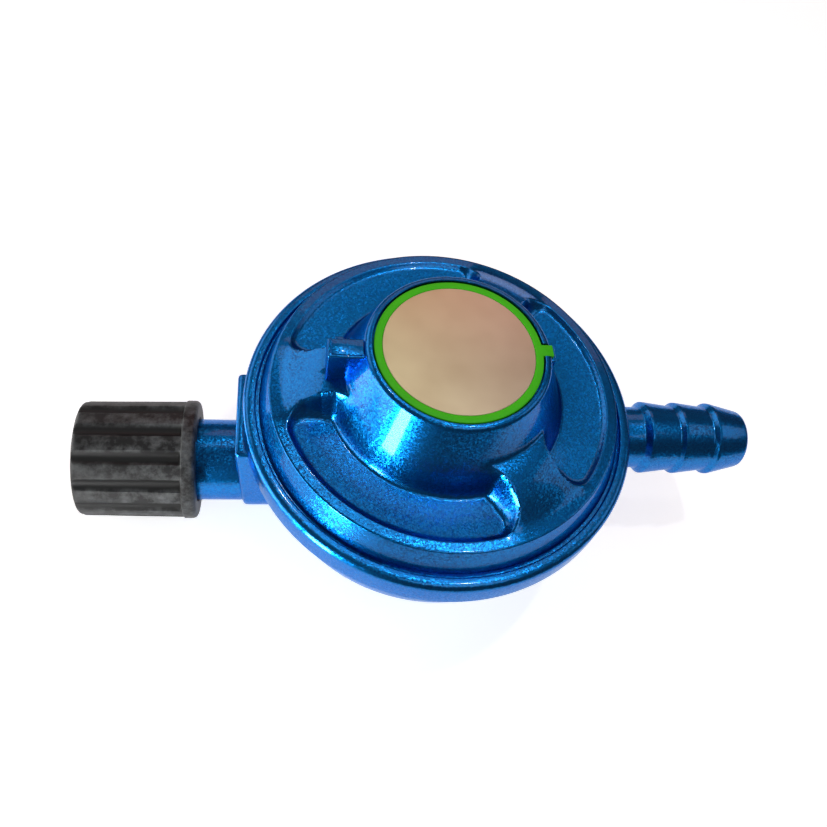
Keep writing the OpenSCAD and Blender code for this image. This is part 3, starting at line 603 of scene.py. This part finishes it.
# %% Extrude the root boss
ROOT_R, ROOT_TOP, ROOT_START, ROOT_LENGTH, DRAFT = 8.4, 28.5, -12, 23.2, math.radians(3)
round_bottom = [math.radians(4.5 * i) for i in range(41)]
section = [(ROOT_R, ROOT_TOP), (-ROOT_R, ROOT_TOP)] + [
    (-ROOT_R * math.cos(a), INLET_Z - ROOT_R * math.sin(a)) for a in round_bottom]
root = start_loop("root_boss", len(section), fill="NGON")
for vertex, (y, z) in zip(root.data.vertices, section):
    vertex.co = Vector((ROOT_START, y, z)) * MM
clean_edit(
    lambda: bpy.ops.mesh.extrude_region_move(TRANSFORM_OT_translate={"value": (-ROOT_LENGTH * MM, 0, 0)}),
    lambda: bpy.ops.mesh.normals_make_consistent(inside=False))
halfway = (ROOT_START - ROOT_LENGTH / 2) * MM
for vertex in root.data.vertices:
    if vertex.co.x < halfway:
        vertex.co.x += math.tan(DRAFT) * (ROOT_TOP * MM - vertex.co.z)
bpy.ops.object.mode_set(mode="EDIT")
bpy.ops.mesh.select_mode(type="EDGE")
bpy.ops.mesh.select_all(action="DESELECT")
bpy.ops.object.mode_set(mode="OBJECT")
for edge in root.data.edges:
    ends = [root.data.vertices[v].co for v in edge.vertices]
    edge.select = all(c.x < halfway for c in ends) or (
        all(c.z > (ROOT_TOP - 0.1) * MM for c in ends) and abs(ends[0].y - ends[1].y) < MM)
bpy.ops.object.mode_set(mode="EDIT")
bpy.ops.mesh.bevel(offset=0.8 * MM, segments=4, affect="EDGES")
bpy.ops.object.mode_set(mode="OBJECT")
print("root boss:", [round(d / MM, 1) for d in root.dimensions], "mm")

# %% Fuse the body's parts and bore the passages
NOZZLE_Z = 22.6
SCREW_X, SCREW_Y = 5.5, (6.8, -6.8)
stem = turned("stem", rounded([(-46, 0), (-46, 7.5, 0.5), (-20, 7.5), (-20, 0)]), 128, INLET_Z)
pad = turned("tail_pad", rounded([(25.5, 0), (25.5, 6.4), (34.3, 6.4, 0.4), (34.3, 0)]), 96, NOZZLE_Z)
seat_boss = rod(-29.5, -11, 6.5, INLET_Z)
fuse(bowl, [root, stem, pad])
chamber = turned("chamber", rounded([(0, 3), (14, 3, 0.4), (14, 5.94), *flank(19.1), (28.6, 40),
                                     (0, 40)]), 288)
fuse(chamber, [seat_boss] + [rod(0, 5, 3.2, SCREW_X, y, True) for y in SCREW_Y], "DIFFERENCE")
inlet_bores = [rod(-47, -30, 5, INLET_Z), rod(-31, -16.5, 2.2, INLET_Z), rod(-17, -10, 3.03, INLET_Z)]
screw_holes = [rod(1, 7, 1.53, SCREW_X, y, True) for y in SCREW_Y]
fuse(bowl, [chamber, *inlet_bores, rod(23, 36, 4.73, NOZZLE_Z), *screw_holes], "DIFFERENCE")
smooth(bowl, 35)
fit(bowl, "blue_paint", "housing", "lower_body")

# %% [markdown]
# ## The hose tail
# The tail is turned from bar and pressed in. Each barb has a steep back and a long slope, so that a
# hose slides on and grips when it is pulled. A turned section is all that it needs.

# %% Turn the tail
BARB_R = 6.8
tail_section = [(29.2, 3.5), (29.2, 4.7), (34.3, 4.7), (34.3, 6.1, 0.3), (35.2, 5.8, 0.4)]
for crest, foot in ((40.3, 5.8), (46.95, 6.1), (53.6, 6.1)):
    tail_section += [(crest - (BARB_R - foot), foot, 0.6), (crest, BARB_R, 0.12),
                     (crest + 0.45, BARB_R, 0.2)]
tail_section += [(60.4, 5.25, 1.2), (60.4, 3.5, 0.3)]
tail = turned("barbed_tail", rounded(tail_section), 160, NOZZLE_Z)
smooth(tail, 35)
fit(tail, "blue_paint", "housing", "hose_tail")

# %% [markdown]
# ## The cap and its blank plate
# The green cap closes the spring's room and shows whether the regulator was opened. A thin plate is
# bonded into its recess, so only a ring of green and the small tab are seen.

# %% Turn the cap and the plate
RECESS = 48.9
cap_section = [(0, 47.6), (13.65, 47.6, 0.2), (13.65, CAP_TOP, 0.18), (12.33, CAP_TOP, 0.1),
               (12.33, RECESS), (0, RECESS)]
cap = turned("green_cap", rounded(cap_section, 4), 256)
fuse(cap, [block((12.9, -0.8, 48.4), (15.4, 1.4, CAP_TOP), 0.15, 2)])
smooth(cap)
fit(cap, "green_plastic", "housing", "closing_cap")
plate_section = [(0, RECESS), (12.3, RECESS), (12.3, 49.17, 0.1), (0, CAP_TOP)]
plate = turned("blank_plate", rounded(plate_section, 4), 256)
smooth(plate)
fit(plate, "champagne_foil", "housing", "rating_plate")

# %% [markdown]
# ## The handwheel
# The wheel is gripped by thirteen flutes that run from the open end to a plain collar. As with the
# cover, a blank is spun and then the flutes are pressed in, so that lobe and flute meet in one soft
# moulded surface.

# %% Spin the blank and press the flutes
FLUTES, FLUTE_R, COLLAR_R = 13, 1.2, 10.94
FLUTES_END, RUNOUT, SHELL_R = -44.75, 0.2, 9.2
wheel_section = rounded([(-63.2, 9.02, 0.25), (-63.2, 10.4, 1.15), (-58, 10.48), (-52, 10.6),
                         (-45.2, 10.72), (-44.95, 10.72), (-44.7, 10.74), (-44.6, COLLAR_R, 0.15),
                         (-42.3, COLLAR_R, 0.9), (-42.3, 7.8, 0.3), (-46.3, 7.8), (-46.3, 9.02)], 6)
wheel = turned("fluted_handwheel", wheel_section, 24 * FLUTES, INLET_Z)


def fluted(r, turn):
    """Radius of the wheel at an angle, with a round flute pressed in at each step."""
    step = 2 * math.pi / FLUTES
    off = (turn + step / 2) % step - step / 2
    side = COLLAR_R * math.sin(off)
    if abs(side) >= FLUTE_R:
        return r
    return soft_min(r, COLLAR_R * math.cos(off) - math.sqrt(FLUTE_R ** 2 - side * side), 0.35)


for vertex in wheel.data.vertices:
    x, y, z = vertex.co.x / MM, vertex.co.y / MM, vertex.co.z / MM - INLET_Z
    r = math.hypot(y, z)
    if r > SHELL_R and x < FLUTES_END:
        fade = min((FLUTES_END - x) / RUNOUT, 1)
        new = r - (r - fluted(r, math.atan2(y, z))) * fade
        vertex.co.y, vertex.co.z = y * new / r * MM, (INLET_Z + z * new / r) * MM
smooth(wheel, 38)
fit(wheel, "black_plastic", "coupling_nut", "handwheel")

# %% [markdown]
# ## The nut's thread
# The brass insert in the wheel has an M16 x 1.5 thread. A thread can be made with a screw modifier,
# but the ends then need patching. Here the bore is spun with many rows and each point is moved out
# by a triangle wave that climbs one pitch in one turn, so the mesh stays closed.

# %% Spin the insert and cut the thread
PITCH, MINOR_R, DEPTH = 1.5, 7.19, 0.8
THREAD_FROM, THREAD_TO, FADE = -61.7, -54.0, 0.5
bore = [(-61.6 + PITCH / 12 * k, MINOR_R) for k in range(61)]
insert_section = rounded([(-62, 8.99, 0.3), (-62, 7.79)] + bore + [
    (-54, MINOR_R), (-54, 7.59), (-49.3, 7.59, 0.2), (-49.3, 5.7, 0.2), (-46.3, 5.7, 0.2),
    (-46.3, 8.99, 0.3)], 3)
insert = turned("threaded_insert", insert_section, 144, INLET_Z)
for vertex in insert.data.vertices:
    x, y, z = vertex.co.x / MM, vertex.co.y / MM, vertex.co.z / MM - INLET_Z
    r = math.hypot(y, z)
    if abs(r - MINOR_R) < 0.01 and THREAD_FROM < x < THREAD_TO - 0.05:
        wave = (x / PITCH - math.atan2(z, y) / (2 * math.pi)) % 1
        depth = DEPTH * min(max(2.4 * abs(wave - 0.5) - 0.1, 0), 1)
        depth *= min((x - THREAD_FROM) / FADE, (THREAD_TO - x) / FADE, 1)
        vertex.co.y, vertex.co.z = y * (1 + depth / r) * MM, (INLET_Z + z * (1 + depth / r)) * MM
smooth(insert, 30)
fit(insert, "brass", "coupling_nut", "nut_insert")

# %% [markdown]
# ## The springs
# A compression spring has evenly spaced turns, and closed turns at both ends. A wire circle is drawn
# out by a screw modifier, each ring of it is then set at its real height, and flat cuts grind the
# ends. The large one is pressed from both ends: the diaphragm's plates rise against its lower end,
# and the screw drives the seat down on its upper end. It is cut in two at a height that stays still,
# but nothing here makes either half flatten.

# %% Wind a spring
def cut_flat(piece, level, below):
    """Cuts the piece at a height, in mm, takes away what lies below or above, and closes the cut."""
    pick(piece)
    clean_edit(lambda: bpy.ops.mesh.bisect(
        plane_co=(0, 0, level * MM), plane_no=(0, 0, 1), use_fill=True,
        clear_inner=below, clear_outer=not below, threshold=1e-7))


def wind(name, mean_r, wire_r, start, end, turns, closed=0.9):
    """A coil along Z from start to end, in mm, with closed and ground ends."""
    rings, sides = int(turns * 48), 14
    piece = start_loop(name, sides)
    for i, vertex in enumerate(piece.data.vertices):
        a = 2 * math.pi * i / sides
        vertex.co = ((mean_r + wire_r * math.cos(a)) * MM, 0, wire_r * math.sin(a) * MM)
    screw = piece.modifiers.new("wind", "SCREW")
    screw.angle, screw.screw_offset = 2 * math.pi * turns, 4 * wire_r * turns * MM
    screw.steps = screw.render_steps = rings
    bpy.ops.object.modifier_apply(modifier=screw.name)
    clean_edit(lambda: bpy.ops.mesh.fill_holes(sides=sides + 1),
               lambda: bpy.ops.mesh.normals_make_consistent(inside=False))
    for vertex in piece.data.vertices:
        angle = vertex.index // sides / rings * turns
        flat = 4 * wire_r * angle
        share = min(max((angle - closed) / (turns - 2 * closed), 0), 1)
        lower = min(angle, closed) * 2 * wire_r
        upper = max(angle - (turns - closed), 0) * 2 * wire_r
        open_height = end - start - 2 * closed * 2 * wire_r
        vertex.co.z += (start + lower + share * open_height + upper - flat) * MM
    cut_flat(piece, start, True)
    cut_flat(piece, end, False)
    return piece


SPRING_LOW, SPRING_STILL, SPRING_HIGH, LIFT, FEED = 29.05, 38.0, 42.35, 3.0, 1.4
spring = wind("load_spring", 8.8, 0.65, SPRING_LOW, SPRING_HIGH, 6.4)
print("load spring:", round(SPRING_HIGH - SPRING_LOW, 2), "mm high, cut in two at z", SPRING_STILL)
bpy.ops.object.duplicate()
spring_top = bpy.context.object
spring_top.name = spring_top.data.name = "load_spring_top"
cut_flat(spring_top, SPRING_STILL, True)
cut_flat(spring, SPRING_STILL, False)
for piece, joint, travel, height in ((spring, "diaphragm_lift", LIFT, SPRING_STILL - SPRING_LOW),
                                     (spring_top, "screw_turn", FEED, SPRING_HIGH - SPRING_STILL)):
    smooth(piece, 40)
    fit(piece, "spring_steel", "housing", "main_spring")
    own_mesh(piece)

# %% Wind the small spring of the excess-flow valve
GAP = 0.02
low, high = (corner.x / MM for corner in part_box("flow_spring"))
flow = wind("flow_spring_wire", 2.9, 0.25, low + GAP, high - GAP, 4.6, 0.75)
flow.data.transform(Matrix.Translation((0, 0, INLET_Z * MM)) @ Matrix.Rotation(math.pi / 2, 4, "Y"))
smooth(flow, 40)
fit(flow, "spring_steel", "housing", "flow_spring")
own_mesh(flow)

# %% [markdown]
# ## The rubber pieces
# The diaphragm is a thin moulded disc with one rolled fold. Its middle rises with the plates and its
# bead stays clamped under the cover, so only the fold bends. It is made as a disc on the plates, a bead
# ring on the housing and twelve sectors of fold, whose neighbours share their border exactly. Nothing
# here makes the sectors bend.

# %% The middle disc and the clamped bead
disc = turned("diaphragm_disc", rounded([(2.05, 27.2), (21.2, 27.2), (21.2, 28.2), (2.05, 28.2)]), 128)
smooth(disc)
fit(disc, "rubber", "diaphragm_stack", "diaphragm")
bead_section = [(28.4, 28.92), (32.95, 28.92, 0.3), (32.95, 30.08, 0.3), (28.4, 30.08)]
bead = turned("diaphragm_bead", rounded(bead_section, 3), 160)
smooth(bead)
fit(bead, "rubber", "housing", "diaphragm")

# %% The fold, one sector modelled and eleven copies
SECTORS, THICKNESS = 12, 1.0
SECTOR_ANGLE = 360 / SECTORS
fold_line = [(21.2, 27.2), (21.9, 27.3), (22.9, 28.3), (23.7, 29.4), (24.6, 30.0), (25.6, 29.9),
             (26.6, 29.3), (27.5, 29.0), (28.4, 28.92)]
fold_section = fold_line + [(r, z + THICKNESS) for r, z in reversed(fold_line)]
for index in range(SECTORS):
    sector = start_loop(f"diaphragm_fold_{index + 1:02d}", len(fold_section), fill="NGON")
    lead = math.radians(SECTOR_ANGLE * index - SECTOR_ANGLE / 2)
    for vertex, (r, z) in zip(sector.data.vertices, fold_section):
        vertex.co = Vector((r * math.cos(lead), r * math.sin(lead), z)) * MM
    clean_edit(
        lambda: bpy.ops.mesh.spin(steps=10, angle=-math.radians(SECTOR_ANGLE),
                                  center=(0, 0, 0), axis=(0, 0, 1)),
        lambda: bpy.ops.mesh.remove_doubles(threshold=MM / 2000),
        lambda: bpy.ops.mesh.normals_make_consistent(inside=False))
    smooth(sector, 40)
    sector.data.materials.append(rubber)
    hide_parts("diaphragm")
    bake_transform(sector)

# %% The valve's pad and the inlet's seal
pad_low, pad_high = (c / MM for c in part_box("valve_pad"))
DENT = 0.12
pad_section = [(pad_low.x, 0), (pad_low.x + DENT, 1.5), (pad_low.x + DENT, 1.9, 0.1), (pad_low.x, 2.3),
               (pad_low.x, 3.0, 0.25), (pad_high.x, 3.0), (pad_high.x, 0)]
valve_pad = turned("valve_rubber", rounded(pad_section, 3), 96, INLET_Z)
smooth(valve_pad)
fit(valve_pad, "rubber", "plunger", "valve_pad")
seal_low, seal_high = (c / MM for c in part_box("inlet_seal"))
cord_r = (seal_high.x - seal_low.x) / 2
ring_r = (seal_high.y - seal_low.y) / 2 - cord_r
cord = [(seal_low.x + cord_r + cord_r * math.cos(a), ring_r + cord_r * math.sin(a))
        for a in [k * math.pi / 10 for k in range(20)]]
seal = turned("inlet_o_ring", cord, 96, INLET_Z)
smooth(seal)
fit(seal, "rubber", "housing", "inlet_seal")

# %% [markdown]
# ## Finishes for the pieces that keep their mesh
# The plates, lever, pins, jet and the rest of the valve are right as they are. Each one only takes
# the finish that its slot in the record names.

# %% Give each kept node its finish
for subpart in frame["record"]["subparts"]:
    node = frame["nodes"][subpart["node"]]
    node.data.materials.clear()
    node.data.materials.append(FINISHES[subpart["material_slot"]])
kept = [name for name, node in frame["nodes"].items() if not node.hide_render]
print("kept nodes:", ", ".join(sorted(kept)))

# %% [markdown]
# ## The studio
# Shiny paint shows what stands round it, so the studio is what gives it its shape. The floor is white
# paper round the object, and falls off to pale grey further away, as under one lamp: a pool of light
# painted into its colour and its glow. It takes the object's shadow, and the camera and the
# reflections see the same white.

# %% Lay the floor
POOL_INNER, POOL_OUTER = 0.182, 0.228
bpy.ops.object.select_all(action="DESELECT")
bpy.ops.mesh.primitive_grid_add(x_subdivisions=8, y_subdivisions=8, size=6)
ground = bpy.context.object
ground.name = "floor"
paper = bpy.data.materials.new("white_paper")
paper.use_nodes = True
paper.node_tree.nodes.clear()
spot = add(paper, "ShaderNodeVectorMath", {"operation": "DISTANCE", 1: (0.03, 0.075, 0)},
           _0=add(paper, "ShaderNodeTexCoord").outputs["Object"])
edge = {"interpolation_type": "SMOOTHSTEP", "From Min": POOL_INNER, "From Max": POOL_OUTER}
# A painted pool of light: near the object the floor is paler and glows more, and further out it turns grey
painted_light_pool = add(paper, "ShaderNodeMapRange", {**edge, "To Min": 0.62, "To Max": 0.02},
           Value=spot.outputs["Value"])
rays = add(paper, "ShaderNodeLightPath")
seen = add(paper, "ShaderNodeMath", {"operation": "MAXIMUM"}, _0=rays.outputs["Is Camera Ray"],
           _1=add(paper, "ShaderNodeMath", {"operation": "MAXIMUM"}, _0=rays.outputs["Is Glossy Ray"],
                  _1=rays.outputs["Is Transmission Ray"]).outputs["Value"])
tone = add(paper, "ShaderNodeMapRange", edge, Value=spot.outputs["Value"])
shade = add(paper, "ShaderNodeMix", {"data_type": "RGBA", 6: colour("#F2F2F2"), 7: colour("#808080")},
            _0=tone.outputs["Result"])
matt = add(paper, "ShaderNodeBsdfDiffuse", Color=shade.outputs[2])
glow = add(paper, "ShaderNodeEmission", {"Color": (1, 1, 1, 1)}, Strength=painted_light_pool.outputs["Result"])
bright = add(paper, "ShaderNodeAddShader", _0=matt.outputs["BSDF"], _1=glow.outputs["Emission"])
either = add(paper, "ShaderNodeMixShader", _0=seen.outputs["Value"], _1=matt.outputs["BSDF"],
             _2=bright.outputs["Shader"])
add(paper, "ShaderNodeOutputMaterial", Surface=either.outputs["Shader"])
ground.data.materials.append(paper)

# %% [markdown]
# A low panel on the left is broad and bright and gives the cone its cyan side, a narrow strip next to
# it draws the white streak, and a small low patch brightens the paint by the vent block. Softer panels
# stand behind, above and on the right, and the front stays dark, which is why the paint looks deep
# there. Two small bulbs overhead put the glints on the rims and barbs, and a warm panel is the wall
# behind. Each brightness is that of the lamp's own face.

# %% Hang the lamps
# A beam of a quarter turn is this many times as bright for its power
HOOD_GAIN = 4.66
AIM = (0, 0, 0.03)


def softbox(name, place, size, brightness, tint=(1, 1, 1), aim=AIM, hooded=False):
    """A rectangular lamp at a place, aimed at the object. Brightness 1 is a white wall. A hood keeps
    the light of a low lamp off the floor, and makes it brighter for the same power."""
    bpy.ops.object.light_add(type="AREA")
    lamp = bpy.context.object
    lamp.name = name
    lamp.data.shape, lamp.data.size, lamp.data.size_y = "RECTANGLE", size[0], size[1]
    lamp.data.energy = brightness * math.pi * size[0] * size[1] / (HOOD_GAIN if hooded else 1)
    lamp.data.spread = math.radians(90 if hooded else 180)
    lamp.data.color = tint
    lamp.location = place
    lamp.rotation_euler = (Vector(place) - Vector(aim)).to_track_quat("Z", "Y").to_euler()
    lamp.visible_camera = False


def toward(azimuth, elevation, distance):
    """A place in a direction from the object, in degrees and metres."""
    turn, lift = math.radians(azimuth), math.radians(elevation)
    return Vector((math.cos(turn) * math.cos(lift), math.sin(turn) * math.cos(lift),
                   math.sin(lift))) * distance + Vector(AIM)


softbox("low_left", (-0.146, -0.031, 0.045), (0.09, 0.085), 4.4, aim=(0, 0, 0.04), hooded=True)
softbox("low_streak", (-0.09, -0.079, 0.037), (0.024, 0.072), 32, aim=(0, 0, 0.04), hooded=True)
softbox("low_patch", (-0.115, 0.01, 0.013), (0.072, 0.026), 4.6, aim=(-0.03, -0.047, 0.03),
        hooded=True)
softbox("back_left", toward(138, 27, 0.45), (0.34, 0.24), 1.25)
softbox("ceiling", toward(67, 73, 0.45), (0.32, 0.26), 0.6)
softbox("high_front", toward(-65, 62, 0.45), (0.24, 0.18), 1.3)
softbox("right", toward(0, 34, 0.45), (0.22, 0.2), 0.8)
softbox("bulb_right", toward(17, 76, 0.42), (0.012, 0.012), 400)
softbox("bulb_back", toward(100, 67, 0.42), (0.012, 0.012), 160)
softbox("warm_wall", toward(77, 36, 0.5), (0.42, 0.2), 1.4, tint=(1, 0.34, 0.3))
world = bpy.data.worlds.new("studio")
bpy.context.scene.world = world
world.use_nodes = True
world.node_tree.nodes["Background"].inputs["Color"].default_value = colour("#DDE2E8")
world.node_tree.nodes["Background"].inputs["Strength"].default_value = 0.12

# %% [markdown]
# ## Last step
# The scene is brought up to date, with every piece in place.

# %% Finish
bpy.context.view_layer.update()
